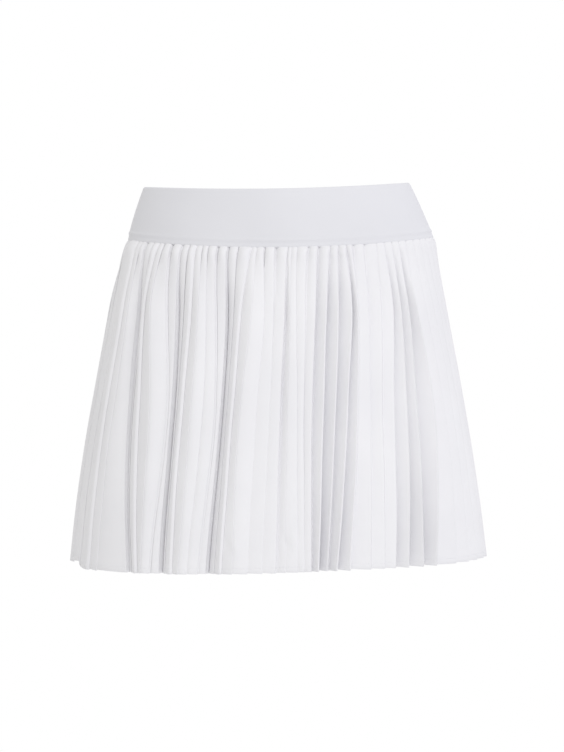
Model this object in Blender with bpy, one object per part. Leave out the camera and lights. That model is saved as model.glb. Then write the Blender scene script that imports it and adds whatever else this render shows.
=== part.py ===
"""A tennis skirt: a wide elastic waistband over a front and a back panel of knife pleats.

Metres, +Z up. The front of the skirt faces -Y, and its left side seam, seen from the front, is at -X.
The origin is the middle of the waistband's ring, halfway up the band at its side seams.
Angles run round the skirt from the left side seam (0), over the front (90) to the right side seam
(180), and on over the back (270).
"""

import math
from collections import namedtuple

import bpy
from mathutils import Vector

# Driving sizes of the waistband
BAND_HALF_HEIGHT = 0.0240  # at the side seams
BAND_TOP_HALF_WIDTH = 0.1196
BAND_TOP_DEPTH_RATIO = 0.70  # front-to-back size of the ring, as a share of its width
BAND_BOTTOM_HALF_WIDTH = 0.1379
BAND_BOTTOM_DEPTH_RATIO = 0.72
BAND_WALL = 0.0024
BAND_EDGE_ROUNDING = 0.0007
BAND_TOP_SHIFT = -0.0022  # the top ring sits a little left of the middle, and the lower ring right
BAND_BOTTOM_SHIFT = 0.0017
BAND_COLUMNS = 42  # straight facets along each half of the band

# How the two edges of the band dip at the centre front and rise at the centre back
TOP_DIP_FRONT = 0.0100
TOP_RISE_BACK = 0.0020
SEAM_DIP_FRONT = 0.0135
SEAM_RISE_BACK = 0.0000
# and how much higher they are at the right side seam than at the left
TOP_LEAN = 0.0038
SEAM_LEAN = 0.0024

# Driving sizes of the pleated panels
SKIRT_WALL = 0.0015
SKIRT_LENGTH = 0.2850  # down the side seam, from the band to the hem
HEM_TILT = 0.0034  # the hem is this much lower at the left seam, and higher at the right
HEM_DIP_LEFT_FRONT = 0.0022  # and sags this much more left of the centre front
HEM_SHORT = 0.0055  # the first pleats at the left are caught up by this much
SHORT_UNTIL = math.radians(18.6)
SEAM_GAP = 0.0003

# Where the folds' charted places are, as shares of the way down
UPPER = 0.12
MIDDLE = 0.48
WAVES_START = 0.0
WAVES_FULL = 0.22
SEAM_DROP = 0.0008  # the step at each fold where the pleats are sewn to the band
LEAST_DROP = 0.0005
DEPTH_KEPT = 0.75  # a wall this thick can't follow the sharpest folds to their full depth
LEAST_STEP_WIDTH = 0.0010  # a fold's underside, measured along the panel
STEP_SLOPE = 0.30  # width of the underside of a deep fold, as a share of its drop
FACE_BULGE = 0.0004  # each pleat's face is a little rounded

COLOURS = {
    "waistband_front": (0.80, 0.80, 0.83, 1.0),
    "waistband_back": (0.78, 0.78, 0.81, 1.0),
    "skirt_front": (0.86, 0.86, 0.88, 1.0),
    "skirt_back": (0.84, 0.84, 0.86, 1.0),
}
CLOTH_ROUGHNESS = 0.75

# The panel's rings: share of the way down from the seam to the hem, half width, depth as a share of width
Ring = namedtuple("Ring", "down half_width depth_ratio shift")
RINGS = (
    Ring(0.00, 0.1381, 0.720, 0.0017),
    Ring(0.04, 0.1408, 0.725, 0.0006),
    Ring(0.10, 0.1440, 0.732, 0.0),
    Ring(0.24, 0.1512, 0.748, 0.0),
    Ring(0.44, 0.1618, 0.768, 0.0),
    Ring(0.64, 0.1718, 0.785, 0.0),
    Ring(0.84, 0.1800, 0.797, 0.0002),
    Ring(1.00, 0.1853, 0.805, 0.0006),
)

# The folds of the front panel, from its left seam to its right. Each row is the edge of one pleat,
# which lies over the start of the next: its angle at the seam, just below it, halfway down and at
# the hem, in degrees. Then, in millimetres, how far the edge stands out from the panel and how far
# the cloth drops behind it, halfway down and at the hem. Valleys part the skirt's waves, and each
# wave begins with a steep wall that climbs to a raised edge.
Fold = namedtuple("Fold", "seam upper middle hem rise drop hem_rise hem_drop")
FRONT_FOLDS = (
    Fold(7.0, 7.5, 8.0, 8.6, 0.5, 0.1, 0.5, 0.1),
    Fold(14.4, 14.5, 17.0, 18.3, -0.8, 0.1, -0.2, 0.4),
    Fold(24.6, 26.2, 27.2, 28.6, 3.4, 0.3, 3.0, 0.3),
    Fold(27.8, 29.0, 31.2, 33.0, 3.0, 0.3, 3.0, 0.3),
    Fold(31.0, 31.6, 36.1, 44.8, -3.0, 4.2, -2.0, 3.6),
    Fold(36.4, 36.4, 39.6, 46.9, -1.2, 0.4, -0.6, 0.4),
    Fold(40.0, 39.6, 44.0, 49.9, 2.2, 0.3, 2.2, 0.3),
    Fold(42.6, 43.0, 49.4, 51.4, 6.8, 0.3, 4.2, 0.3),
    Fold(46.3, 47.6, 54.0, 53.4, -0.6, 1.8, 1.2, 1.4),
    Fold(51.4, 52.2, 55.5, 55.9, -2.8, 5.0, -2.8, 5.2),
    Fold(55.2, 56.0, 57.9, 58.2, -1.6, 0.4, -1.6, 0.4),
    Fold(58.4, 59.8, 60.7, 61.1, 2.0, 0.3, 2.4, 0.3),
    Fold(60.8, 62.6, 64.1, 63.4, 6.2, 0.3, 5.6, 0.3),
    Fold(63.2, 65.0, 67.3, 65.5, 2.8, 0.5, 3.4, 0.2),
    Fold(66.5, 67.8, 70.6, 68.2, -0.2, 1.6, 0.6, 1.2),
    Fold(70.6, 71.6, 72.4, 70.2, -2.8, 4.8, -2.4, 5.6),
    Fold(74.7, 75.0, 74.5, 72.7, -1.6, 0.4, -1.4, 0.4),
    Fold(79.8, 78.6, 76.8, 75.1, 1.4, 0.3, 2.6, 0.3),
    Fold(81.5, 81.6, 79.0, 77.9, 5.6, 0.3, 5.0, 0.3),
    Fold(84.0, 85.2, 83.6, 81.8, 2.2, 0.2, 2.2, 0.2),
    Fold(87.9, 88.4, 87.4, 85.7, 1.4, 0.2, 1.6, 0.2),
    Fold(92.6, 92.2, 90.5, 89.0, 1.2, 3.0, 1.2, 2.0),
    Fold(94.0, 93.9, 92.6, 91.6, 2.4, 0.3, 1.3, 0.2),
    Fold(96.0, 95.9, 95.4, 94.7, 2.0, 0.6, 1.2, 0.2),
    Fold(99.6, 99.0, 97.4, 96.5, 1.8, 0.9, 1.2, 0.3),
    Fold(103.4, 102.6, 99.8, 98.3, 2.4, 5.8, 1.4, 3.8),
    Fold(108.0, 106.6, 103.3, 100.3, 2.8, 8.0, 2.6, 12.5),
    Fold(111.1, 110.5, 107.0, 102.8, 2.8, 8.2, -2.0, 3.0),
    Fold(114.2, 114.9, 110.9, 105.0, 2.6, 6.0, 3.0, 10.0),
    Fold(116.7, 117.2, 114.0, 108.6, 2.4, 0.3, 2.4, 5.0),
    Fold(121.2, 121.2, 118.0, 114.3, 1.5, 3.2, 1.8, 1.6),
    Fold(126.9, 126.6, 122.2, 118.4, 1.5, 1.6, 1.5, 1.2),
    Fold(130.6, 131.4, 126.6, 121.8, 1.8, 7.0, 2.0, 11.0),
    Fold(134.5, 134.8, 131.5, 125.6, 2.2, 9.0, 3.0, 18.0),
    Fold(138.2, 138.4, 135.5, 130.5, 2.4, 15.5, 4.0, 22.0),
    Fold(142.3, 142.3, 143.2, 134.9, 2.8, 0.3, 5.2, 0.3),
    Fold(147.4, 148.0, 149.0, 143.7, 2.0, 0.2, 3.6, 0.2),
    Fold(152.7, 153.6, 154.6, 150.8, 1.6, 0.2, 2.7, 0.2),
    Fold(158.3, 159.3, 160.5, 157.3, 1.2, 0.2, 1.7, 0.2),
    Fold(164.0, 165.0, 165.5, 164.5, 0.9, 0.2, 1.2, 0.2),
    Fold(169.8, 171.0, 171.5, 172.5, 0.6, 0.2, 0.6, 0.2),
)

# The waves of the back panel, from its right seam to its left: how many pleats each gathers, how
# deep its valley is halfway down and at the hem, in millimetres, and how far its folds drift by the
# hem, in degrees.
Wave = namedtuple("Wave", "pleats depth hem_depth drift")
BACK_WAVES = (
    Wave(3, 2.0, 2.4, 1.0),
    Wave(5, 5.5, 6.5, 2.4),
    Wave(4, 4.0, 3.6, -1.0),
    Wave(5, 6.0, 7.0, 1.4),
    Wave(5, 2.5, 1.2, -2.2),
    Wave(4, 6.0, 6.8, 0.8),
    Wave(4, 4.5, 5.4, 2.0),
    Wave(5, 6.5, 6.2, -1.8),
    Wave(3, 3.0, 2.6, 1.2),
    Wave(4, 5.0, 5.6, -0.6),
)
WALL_RISE = -0.3  # of the valley's depth, at the edge of a wave's first pleat
CREST_RISE = 0.25
TOP_RISE = 0.85
LIP_RISE = -0.35
LIP_DROP = 0.55
CROWDING = 0.9  # degrees that the pleats crowd towards the crest


def remove_everything():
    for thing in list(bpy.data.objects):
        bpy.data.objects.remove(thing, do_unlink=True)


def mix(low, high, share):
    return low + (high - low) * share


def smooth(share):
    share = min(max(share, 0.0), 1.0)
    return share * share * (3.0 - 2.0 * share)


def dip(angle, front, back):
    """Height of a curved edge over its side seams: front below them and back above them."""
    forward = math.sin(angle)
    return -0.5 * (front + back) * forward - 0.5 * (front - back) * forward * forward


def lean(angle, amount):
    return amount * 0.5 * (1.0 - math.cos(angle))


def band_top(angle):
    return BAND_HALF_HEIGHT + dip(angle, TOP_DIP_FRONT, TOP_RISE_BACK) + lean(angle, TOP_LEAN)


def seam_height(angle):
    return -BAND_HALF_HEIGHT + dip(angle, SEAM_DIP_FRONT, SEAM_RISE_BACK) + lean(angle, SEAM_LEAN)


def hem_height(angle):
    level = -BAND_HALF_HEIGHT - SKIRT_LENGTH
    sag = HEM_DIP_LEFT_FRONT * max(math.sin(angle), 0.0) * max(math.cos(angle) + 0.35, 0.0)
    caught_up = 0.0
    if angle < SHORT_UNTIL:
        caught_up = HEM_SHORT * max(angle, 0.0) / SHORT_UNTIL
    return level - HEM_TILT * math.cos(angle) - sag + caught_up


def outline(angle, half_width, depth_ratio, shift, outwards=0.0):
    """A point on the oval of that half width, moved outwards along the oval's normal."""
    half_depth = half_width * depth_ratio
    point = Vector((shift - half_width * math.cos(angle), -half_depth * math.sin(angle)))
    normal = Vector((-half_depth * math.cos(angle), -half_width * math.sin(angle))).normalized()
    return point + normal * outwards


def pace(angle, half_width, depth_ratio):
    """Metres along the oval for each radian of angle."""
    return half_width * math.hypot(math.sin(angle), depth_ratio * math.cos(angle))


def even_angle(share, depth_ratio):
    """The angle a share of the way along half an oval, measured along its edge."""
    squash = (1.0 - depth_ratio) / (2.0 * (1.0 + depth_ratio))
    return math.pi * share + squash * math.sin(2.0 * math.pi * share)


def wave_pleat(number, pleats, depth):
    """Rise and drop of one pleat in a wave of that depth."""
    if number == 0:
        return WALL_RISE * depth, 0.0
    if number == 1:
        return CREST_RISE * depth, 0.0
    if number == pleats - 1:
        return LIP_RISE * depth, LIP_DROP * depth
    down_slope = (number - 2) / (pleats - 2)
    return mix(TOP_RISE, 0.1, down_slope) * depth, 0.0


def back_folds():
    """The back panel's folds, worked out from its waves."""
    total = sum(wave.pleats for wave in BACK_WAVES)
    folds = []
    done = 0
    drift_before = 0.0
    for wave in BACK_WAVES:
        for number in range(wave.pleats):
            done += 1
            seam = math.degrees(even_angle(done / total, RINGS[0].depth_ratio))
            hem = math.degrees(even_angle(done / total, RINGS[-1].depth_ratio))
            drift = mix(drift_before, wave.drift, (number + 1) / wave.pleats)
            crowd = -CROWDING * math.sin(2.0 * math.pi * (number + 0.5) / wave.pleats)
            rise, drop = wave_pleat(number, wave.pleats, wave.depth)
            hem_rise, hem_drop = wave_pleat(number, wave.pleats, wave.hem_depth)
            upper = mix(seam, hem, UPPER) + 0.1 * drift + 0.3 * crowd
            middle = mix(seam, hem, MIDDLE) + 0.6 * drift + crowd
            folds.append(Fold(seam, upper, middle, hem + drift + crowd, rise, drop, hem_rise, hem_drop))
        drift_before = wave.drift
    return folds[:-1]


def fold_angle(fold, down):
    """The fold's place round the panel: a smooth curve through its four charted places, in radians."""
    downs = (0.0, UPPER, MIDDLE, 1.0)
    places = (fold.seam, fold.upper, fold.middle, fold.hem)
    part = 0 if down < UPPER else 1 if down < MIDDLE else 2
    steps = [downs[n + 1] - downs[n] for n in range(3)]
    slopes = [(places[n + 1] - places[n]) / steps[n] for n in range(3)]
    tangents = [slopes[0]]
    for n in range(2):
        weighted = slopes[n] * steps[n + 1] + slopes[n + 1] * steps[n]
        tangents.append(weighted / (steps[n] + steps[n + 1]))
    tangents.append(slopes[2])
    share = (down - downs[part]) / steps[part]
    rest = 1.0 - share
    return math.radians(
        places[part] * (1.0 + 2.0 * share) * rest**2
        + tangents[part] * steps[part] * share * rest**2
        + places[part + 1] * share**2 * (3.0 - 2.0 * share)
        - tangents[part + 1] * steps[part] * share**2 * rest
    )


def fold_heights(fold, down):
    """How far the fold's edge stands out there, and how far the cloth drops behind it."""
    opened = DEPTH_KEPT * smooth((down - WAVES_START) / (WAVES_FULL - WAVES_START))
    towards_hem = smooth((down - MIDDLE) / (1.0 - MIDDLE))
    rise = 0.001 * opened * mix(fold.rise, fold.hem_rise, towards_hem)
    drop = 0.001 * opened * mix(fold.drop, fold.hem_drop, towards_hem)
    return rise, max(drop, mix(SEAM_DROP, LEAST_DROP, smooth(down / WAVES_FULL)))


def panel_section(folds, start, ring):
    """The outer line of a panel at one ring, as flat points with their angles."""
    line = []

    def add(angle, outwards):
        there = outline(start + angle, ring.half_width, ring.depth_ratio, ring.shift, outwards)
        line.append((start + angle, there))

    end_gap = 0.5 * SEAM_GAP / pace(start, ring.half_width, ring.depth_ratio)
    foot_angle = end_gap
    foot_height = 0.0
    add(foot_angle, foot_height)
    for fold in folds:
        edge_angle = fold_angle(fold, ring.down)
        rise, drop = fold_heights(fold, ring.down)
        add(0.5 * (foot_angle + edge_angle), 0.5 * (foot_height + rise) + FACE_BULGE)
        add(edge_angle, rise)
        step = max(LEAST_STEP_WIDTH, STEP_SLOPE * drop)
        foot_angle = edge_angle + step / pace(start + edge_angle, ring.half_width, ring.depth_ratio)
        foot_height = rise - drop
        add(foot_angle, foot_height)
    add(0.5 * (foot_angle + math.pi), 0.5 * foot_height + FACE_BULGE)
    add(math.pi - end_gap, 0.0)
    return line


def inner_line(line, wall):
    """The line's inner side, a wall's thickness away at every point."""
    points = [point for _, point in line]
    inner = []
    for number, point in enumerate(points):
        before = points[max(number - 1, 0)]
        after = points[min(number + 1, len(points) - 1)]
        along_in = (point - before).normalized() if number else (after - point).normalized()
        along_out = (after - point).normalized() if number < len(points) - 1 else along_in
        along = (along_in + along_out).normalized()
        inwards = Vector((-along.y, along.x))
        reach = wall / max(along.dot(along_in), 0.6)
        inner.append((line[number][0], point + inwards * reach))
    return inner


def new_object(name, points, faces):
    mesh = bpy.data.meshes.new(name)
    mesh.from_pydata(points, [], faces)
    mesh.validate()
    mesh.shade_smooth()
    mesh.set_sharp_from_angle(angle=math.radians(35))
    material = bpy.data.materials.new(name)
    material.use_nodes = True
    shader = material.node_tree.nodes["Principled BSDF"]
    shader.inputs["Base Color"].default_value = COLOURS[name]
    shader.inputs["Roughness"].default_value = CLOTH_ROUGHNESS
    mesh.materials.append(material)
    made = bpy.data.objects.new(name, mesh)
    bpy.context.scene.collection.objects.link(made)
    return made


def closed_strip(name, loops):
    """A solid through equal loops of points, one after another, with both end loops filled."""
    count = len(loops[0])
    points = [point for loop in loops for point in loop]
    faces = [tuple(reversed(range(count))), tuple(range(len(points) - count, len(points)))]
    for number in range(len(loops) - 1):
        for corner in range(count):
            following = (corner + 1) % count
            here = number * count
            there = here + count
            faces.append((here + corner, here + following, there + following, there + corner))
    return new_object(name, points, faces)


def make_panel(name, folds, start):
    """A pleated panel: at each point along it, one closed loop goes down the outside and up the inside."""
    outer = [panel_section(folds, start, ring) for ring in RINGS]
    inner = [inner_line(line, SKIRT_WALL) for line in outer]
    loops = []
    for column in range(len(outer[0])):
        loop = []
        for ring, line in zip(RINGS, outer):
            angle, point = line[column]
            loop.append(point.to_3d() + Vector((0, 0, panel_height(angle, ring.down))))
        for ring, line, outside in zip(reversed(RINGS), reversed(inner), reversed(outer)):
            angle = outside[column][0]
            loop.append(line[column][1].to_3d() + Vector((0, 0, panel_height(angle, ring.down))))
        loops.append(loop)
    return closed_strip(name, loops)


def panel_height(angle, down):
    return mix(seam_height(angle) - SEAM_GAP, hem_height(angle), down)


def band_loop(angle):
    """The band's section at one angle: down the outside, round the lower edge, up the inside."""
    low = seam_height(angle)
    high = band_top(angle)
    corner = BAND_EDGE_ROUNDING
    places = (
        (high, -0.5 * BAND_WALL),
        (high - 0.3 * corner, -corner),
        (high - corner, 0.0),
        (mix(low, high, 0.5), 0.0003),
        (low + corner, 0.0),
        (low, -corner),
        (low, -BAND_WALL + corner),
        (low + corner, -BAND_WALL),
        (mix(low, high, 0.5), -BAND_WALL),
        (high - corner, -BAND_WALL),
    )
    loop = []
    for height, outwards in places:
        up = (height - low) / (high - low)
        half_width = mix(BAND_BOTTOM_HALF_WIDTH, BAND_TOP_HALF_WIDTH, up)
        ratio = mix(BAND_BOTTOM_DEPTH_RATIO, BAND_TOP_DEPTH_RATIO, up)
        shift = mix(BAND_BOTTOM_SHIFT, BAND_TOP_SHIFT, up)
        loop.append(outline(angle, half_width, ratio, shift, outwards).to_3d() + Vector((0, 0, height)))
    return loop


def make_band(name, start):
    end_gap = 0.5 * SEAM_GAP / (BAND_TOP_HALF_WIDTH * BAND_TOP_DEPTH_RATIO)
    loops = []
    for column in range(BAND_COLUMNS + 1):
        angle = mix(start + end_gap, start + math.pi - end_gap, column / BAND_COLUMNS)
        loops.append(band_loop(angle))
    return closed_strip(name, loops)


def main():
    remove_everything()
    make_band("waistband_front", 0.0)
    make_band("waistband_back", math.pi)
    make_panel("skirt_front", FRONT_FOLDS, 0.0)
    make_panel("skirt_back", back_folds(), math.pi)


main()
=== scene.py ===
# %% [markdown]
# # A pleated tennis skirt
# The real skirt is only two kinds of cloth. A wide, smooth band of covered elastic grips the waist,
# and below it hangs a very thin woven polyester that was pressed into narrow knife pleats by heat.
# The pleats start side by side at the band, and lower down they gather by threes and fours into
# soft waves. This lesson builds both cloths in Blender as thin shells around a plain solid model of
# the same skirt, then gives them weave, thread, light and a camera.

# %% Load the solid model
import math
from collections import namedtuple

import bpy
import numpy as np
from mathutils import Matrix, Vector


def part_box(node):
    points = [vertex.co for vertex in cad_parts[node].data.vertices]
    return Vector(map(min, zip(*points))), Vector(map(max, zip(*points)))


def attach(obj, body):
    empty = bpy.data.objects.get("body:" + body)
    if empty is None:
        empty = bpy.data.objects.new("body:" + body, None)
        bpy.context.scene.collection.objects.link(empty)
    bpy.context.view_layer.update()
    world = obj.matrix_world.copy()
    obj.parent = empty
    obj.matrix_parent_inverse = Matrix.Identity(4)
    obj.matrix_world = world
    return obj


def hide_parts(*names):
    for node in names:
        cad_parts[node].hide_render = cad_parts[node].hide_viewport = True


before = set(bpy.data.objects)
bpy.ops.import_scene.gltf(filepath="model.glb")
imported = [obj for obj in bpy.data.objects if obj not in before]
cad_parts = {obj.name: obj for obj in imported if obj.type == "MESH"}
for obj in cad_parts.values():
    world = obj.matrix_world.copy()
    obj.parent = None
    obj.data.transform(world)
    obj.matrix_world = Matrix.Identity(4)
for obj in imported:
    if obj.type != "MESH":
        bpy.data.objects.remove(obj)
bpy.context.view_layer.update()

MM = 0.001

# %% [markdown]
# ## Set the camera first
# A garment on a web page is usually taken from about two metres away with a long lens, level with
# its own middle, so that neither the waist nor the hem is seen from above. A level camera also
# keeps the side lines of the skirt true. It could be aimed with a constraint, but a camera that
# only looks straight along +Y needs nothing more than a quarter turn about X.

# %% Camera
CAMERA_DISTANCE = 2.0
CAMERA_HEIGHT = -0.146  # below the middle of the waistband, so halfway down the whole skirt
CAMERA_RIGHT = 0.0027
CAMERA_LENS_MM = 106.4
SENSOR_MM = 36.0  # along the picture's long side, as Blender's camera has it

camera = bpy.data.objects.new("camera", bpy.data.cameras.new("camera"))
camera.data.lens = CAMERA_LENS_MM
camera.data.clip_end = 40.0
camera.location = (CAMERA_RIGHT, -CAMERA_DISTANCE, CAMERA_HEIGHT)
camera.rotation_euler = (math.pi / 2, 0.0, 0.0)
bpy.context.scene.collection.objects.link(camera)
bpy.context.scene.camera = camera
print("the picture is", round(CAMERA_DISTANCE * SENSOR_MM / CAMERA_LENS_MM, 3), "m tall at the skirt")

# %% [markdown]
# ## Take the main sizes from the solids
# Everything fits the solid model, so the lower ring of the waistband and the band's height are read
# from the boxes around the solids. The proportions that a box can't tell, such as how oval each ring
# is and how its edges dip, are written here as numbers.

# %% Sizes of the band and the skirt
band_front_low, band_front_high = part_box("waistband_front")
band_back_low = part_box("waistband_back")[0]

SEAM_HALF_WIDTH = 0.5 * (band_front_high.x - band_front_low.x)
SEAM_SHIFT = 0.5 * (band_front_high.x + band_front_low.x)  # the lower ring sits a little right
TOP_HALF_WIDTH = 0.867 * SEAM_HALF_WIDTH
TOP_SHIFT = -0.0022  # and the top ring a little left
TOP_DEPTH_RATIO = 0.70  # front-to-back size of the ring, as a share of its width
SEAM_DEPTH_RATIO = 0.72
BAND_HALF_HEIGHT = -band_back_low.z  # at the side seams
TOP_DIP_FRONT = 0.0100
TOP_RISE_BACK = 0.0020
SEAM_DIP_FRONT = 0.0135
TOP_LEAN = 0.0038  # how much higher the top edge is at the right side seam than at the left
SEAM_LEAN = 0.0024
BAND_WALL = 0.0024
SKIRT_LENGTH = 0.2850
HEM_TILT = 0.0034  # the hem is this much lower at the left seam, and higher at the right
HEM_DIP_LEFT_FRONT = 0.0022
HEM_SHORT = 0.0055  # the first pleats at the left are caught up a little
SHORT_UNTIL = math.radians(18.6)
SEAM_GAP = 0.0003
print("waist seam half width", round(SEAM_HALF_WIDTH, 4), "band half height", round(BAND_HALF_HEIGHT, 4))


def mix(low, high, share):
    return low + (high - low) * share


def smooth(share):
    share = np.clip(share, 0.0, 1.0)
    return share * share * (3.0 - 2.0 * share)


def dip(angle, front, back):
    """Height of a curved edge over its side seams: front below them and back above them."""
    forward = np.sin(angle)
    return -0.5 * (front + back) * forward - 0.5 * (front - back) * forward**2


def lean(angle, amount):
    return amount * 0.5 * (1.0 - np.cos(angle))


def band_top(angle):
    return BAND_HALF_HEIGHT + dip(angle, TOP_DIP_FRONT, TOP_RISE_BACK) + lean(angle, TOP_LEAN)


def seam_height(angle):
    return -BAND_HALF_HEIGHT + dip(angle, SEAM_DIP_FRONT, 0.0) + lean(angle, SEAM_LEAN)


def hem_height(angle):
    sag = HEM_DIP_LEFT_FRONT * np.maximum(np.sin(angle), 0.0) * np.maximum(np.cos(angle) + 0.35, 0.0)
    inside = np.clip(angle / SHORT_UNTIL, 0.0, 1.0) * smooth((SHORT_UNTIL - angle) / 0.02)
    return -BAND_HALF_HEIGHT - SKIRT_LENGTH - HEM_TILT * np.cos(angle) - sag + HEM_SHORT * inside


# %% [markdown]
# ## Rings down the skirt
# Seen from above the skirt is an oval that grows from the waist to the hem. A few rings are enough
# to hold that flare, and a smooth curve through them gives every height between. Angles run round
# the skirt from the left side seam, over the front and on round the back.

# %% Outline of the skirt
Ring = namedtuple("Ring", "down half_width depth_ratio shift")
RINGS = (
    Ring(0.00, 0.1379, 0.720, 0.0017),
    Ring(0.04, 0.1408, 0.725, 0.0006),
    Ring(0.10, 0.1440, 0.732, 0.0),
    Ring(0.24, 0.1512, 0.748, 0.0),
    Ring(0.44, 0.1618, 0.768, 0.0),
    Ring(0.64, 0.1718, 0.785, 0.0),
    Ring(0.84, 0.1800, 0.797, 0.0002),
    Ring(1.00, 0.1853, 0.805, 0.0006),
)


def through(downs, values, down):
    """A smooth curve through the rings' values, with the slope at each ring taken from its neighbours."""
    downs = np.array(downs)
    values = np.array(values)
    slopes = np.gradient(values, downs)
    place = np.clip(np.searchsorted(downs, down, side="right") - 1, 0, len(downs) - 2)
    span = downs[place + 1] - downs[place]
    share = (down - downs[place]) / span
    rest = 1.0 - share
    return (
        values[place] * (1.0 + 2.0 * share) * rest**2
        + slopes[place] * span * share * rest**2
        + values[place + 1] * share**2 * (3.0 - 2.0 * share)
        - slopes[place + 1] * span * share**2 * rest
    )


def half_width_at(down):
    return through([ring.down for ring in RINGS], [ring.half_width for ring in RINGS], down)


def depth_ratio_at(down):
    return through([ring.down for ring in RINGS], [ring.depth_ratio for ring in RINGS], down)


def shift_at(down):
    return through([ring.down for ring in RINGS], [ring.shift for ring in RINGS], down)


def oval(angle, half_width, ratio, shift, outwards):
    """Flat x and y of points on an oval, moved outwards along its normal."""
    across = shift - half_width * np.cos(angle)
    along = -half_width * ratio * np.sin(angle)
    normal_x = -ratio * np.cos(angle)
    normal_y = -np.sin(angle)
    length = np.hypot(normal_x, normal_y)
    return across + outwards * normal_x / length, along + outwards * normal_y / length


def pace(angle, half_width, ratio):
    """Metres along the oval for each radian of angle."""
    return half_width * np.hypot(np.sin(angle), ratio * np.cos(angle))


def even_angle(share, ratio):
    """The angle a share of the way along half an oval, measured along its edge."""
    squash = (1.0 - ratio) / (2.0 * (1.0 + ratio))
    return math.pi * share + squash * math.sin(2.0 * math.pi * share)


print("hem half width", half_width_at(np.array([1.0]))[0])
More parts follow.
